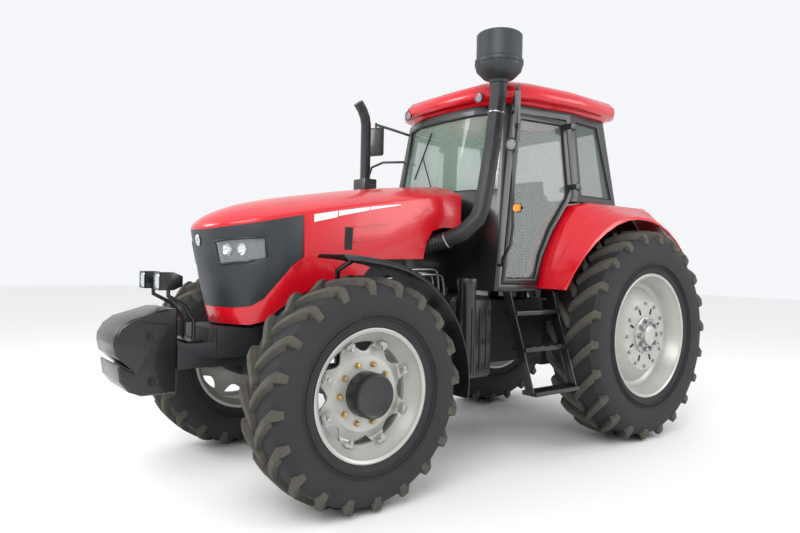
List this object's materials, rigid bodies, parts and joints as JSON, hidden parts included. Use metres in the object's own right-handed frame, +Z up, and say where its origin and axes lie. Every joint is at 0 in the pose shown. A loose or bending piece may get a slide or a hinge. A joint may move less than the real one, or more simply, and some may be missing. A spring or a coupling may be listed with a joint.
{
  "type": "farm tractor",
  "caption": "Four-wheel-drive farm tractor with a closed cab, steered front wheels, front weights, lifting hood, opening doors and a rear three-point hitch.",
  "frame": {"origin": "centre of the bounding box in plan, on the ground under the tyres", "axes": "+X towards the tractor's left side, +Y towards its rear, +Z up; it faces -Y"},
  "size_m": [2.175, 5.04, 3.126],
  "materials": {
    "black_enamel": "satin black enamel",
    "charcoal_plastic": "charcoal moulded plastic",
    "lamp_lens": "clear lamp lens",
    "painted_casting": "dark painted casting",
    "red_enamel": "glossy red enamel",
    "seat_fabric": "dark woven seat cloth",
    "silver_enamel": "silver grey wheel enamel",
    "tinted_glass": "green tinted safety glass",
    "tyre_rubber": "dusty tyre rubber"
  },
  "bodies": {
    "chassis": {"front_frame": "painted_casting", "front_weights": "charcoal_plastic", "work_lamps": "painted_casting", "engine_block": "painted_casting", "gearbox_housing": "painted_casting", "rear_axle_housing": "painted_casting", "front_axle_beam": "painted_casting", "fuel_tank": "charcoal_plastic", "battery_box": "charcoal_plastic", "exhaust_stack": "black_enamel", "intake_pipe": "black_enamel", "pre_cleaner": "charcoal_plastic", "cab_frame": "black_enamel", "cab_floor": "charcoal_plastic", "cab_roof": "red_enamel", "windscreen": "tinted_glass", "rear_window": "tinted_glass", "seat": "seat_fabric", "dashboard": "charcoal_plastic", "drawbar": "painted_casting", "fender_left": "red_enamel", "steps_left": "black_enamel", "grab_rail_left": "black_enamel", "mirror_left": "black_enamel", "quarter_window_left": "tinted_glass", "fender_right": "red_enamel", "steps_right": "black_enamel", "grab_rail_right": "black_enamel", "mirror_right": "black_enamel", "quarter_window_right": "tinted_glass"},
    "hood": {"hood": "red_enamel", "hood_mask": "charcoal_plastic", "headlight_left": "lamp_lens", "headlight_right": "lamp_lens"},
    "steering_wheel": {"steering_wheel": "charcoal_plastic"},
    "tie_rod": {"tie_rod": "black_enamel"},
    "lift_arms": {"lift_arms": "black_enamel"},
    "door_left": {"door_left": "black_enamel", "door_glass_left": "tinted_glass"},
    "knuckle_left": {"knuckle_left": "black_enamel", "mudguard_left": "black_enamel"},
    "wheel_front_left": {"tyre_front_left": "tyre_rubber", "rim_front_left": "silver_enamel", "hub_front_left": "silver_enamel"},
    "wheel_rear_left": {"tyre_rear_left": "tyre_rubber", "rim_rear_left": "silver_enamel"},
    "lower_link_left": {"lower_link_left": "black_enamel"},
    "lift_rod_left": {"lift_rod_left": "black_enamel"},
    "door_right": {"door_right": "black_enamel", "door_glass_right": "tinted_glass"},
    "knuckle_right": {"knuckle_right": "black_enamel", "mudguard_right": "black_enamel"},
    "wheel_front_right": {"tyre_front_right": "tyre_rubber", "rim_front_right": "silver_enamel", "hub_front_right": "silver_enamel"},
    "wheel_rear_right": {"tyre_rear_right": "tyre_rubber", "rim_rear_right": "silver_enamel"},
    "lower_link_right": {"lower_link_right": "black_enamel"},
    "lift_rod_right": {"lift_rod_right": "black_enamel"}
  },
  "joints": [
    {"name": "hood_hinge", "type": "hinge", "parent": "chassis", "child": "hood", "pos_m": [0, -0.15, 1.955], "axis": [-1, 0, 0], "range_deg": [0, 50]},
    {"name": "knuckle_left_steer", "type": "hinge", "parent": "chassis", "child": "knuckle_left", "pos_m": [0.62, -1.335, 0.68], "axis": [0, 0, 1], "range_deg": [-35, 35]},
    {"name": "knuckle_right_steer", "type": "hinge", "parent": "chassis", "child": "knuckle_right", "pos_m": [-0.62, -1.335, 0.68], "axis": [0, 0, 1], "range_deg": [-35, 35]},
    {"name": "tie_rod_slide", "type": "slide", "parent": "chassis", "child": "tie_rod", "axis": [1, 0, 0], "range_m": [-0.1377, 0.1377]},
    {"name": "steering_wheel_turn", "type": "hinge", "parent": "chassis", "child": "steering_wheel", "pos_m": [0, 0.435, 1.93], "axis": [0, 0.4695, 0.8829], "range_deg": [-420, 420]},
    {"name": "door_left_hinge", "type": "hinge", "parent": "chassis", "child": "door_left", "pos_m": [0.89, 0.805, 1.24], "axis": [-0.0896, -0.0419, 0.9951], "range_deg": [0, 80]},
    {"name": "wheel_front_left_spin", "type": "hinge", "parent": "knuckle_left", "child": "wheel_front_left", "pos_m": [0.855, -1.335, 0.68], "axis": [1, 0, 0], "continuous": true},
    {"name": "wheel_rear_left_spin", "type": "hinge", "parent": "chassis", "child": "wheel_rear_left", "pos_m": [0.855, 1.465, 0.872], "axis": [1, 0, 0], "continuous": true},
    {"name": "lower_link_left_lift", "type": "hinge", "parent": "chassis", "child": "lower_link_left", "pos_m": [0, 1.605, 0.6], "axis": [1, 0, 0], "range_deg": [-8, 35]},
    {"name": "door_right_hinge", "type": "hinge", "parent": "chassis", "child": "door_right", "pos_m": [-0.89, 0.805, 1.24], "axis": [-0.0896, 0.0419, -0.9951], "range_deg": [0, 80]},
    {"name": "wheel_front_right_spin", "type": "hinge", "parent": "knuckle_right", "child": "wheel_front_right", "pos_m": [-0.855, -1.335, 0.68], "axis": [1, 0, 0], "continuous": true},
    {"name": "wheel_rear_right_spin", "type": "hinge", "parent": "chassis", "child": "wheel_rear_right", "pos_m": [-0.855, 1.465, 0.872], "axis": [1, 0, 0], "continuous": true},
    {"name": "lower_link_right_lift", "type": "hinge", "parent": "chassis", "child": "lower_link_right", "pos_m": [0, 1.605, 0.6], "axis": [1, 0, 0], "range_deg": [-8, 35]},
    {"name": "lift_arms_turn", "type": "hinge", "parent": "chassis", "child": "lift_arms", "pos_m": [0, 1.685, 1.22], "axis": [1, 0, 0], "range_deg": [-9.5, 41.5]},
    {"name": "lift_rod_left_swing", "type": "hinge", "parent": "lift_arms", "child": "lift_rod_left", "pos_m": [0.337, 2.085, 1.14], "axis": [1, 0, 0], "range_deg": [-42, 10]},
    {"name": "lift_rod_right_swing", "type": "hinge", "parent": "lift_arms", "child": "lift_rod_right", "pos_m": [-0.337, 2.085, 1.14], "axis": [1, 0, 0], "range_deg": [-42, 10]}
  ],
  "couplings": [
    {"joint": "knuckle_right_steer", "follows": "knuckle_left_steer", "ratio": 1},
    {"joint": "tie_rod_slide", "follows": "knuckle_left_steer", "m_per_rad": -0.2253},
    {"joint": "steering_wheel_turn", "follows": "knuckle_left_steer", "ratio": 12},
    {"joint": "lower_link_right_lift", "follows": "lower_link_left_lift", "ratio": 1},
    {"joint": "lift_arms_turn", "follows": "lower_link_left_lift", "ratio": 1.18},
    {"joint": "lift_rod_left_swing", "follows": "lower_link_left_lift", "ratio": -1.18},
    {"joint": "lift_rod_right_swing", "follows": "lower_link_left_lift", "ratio": -1.18}
  ]
}
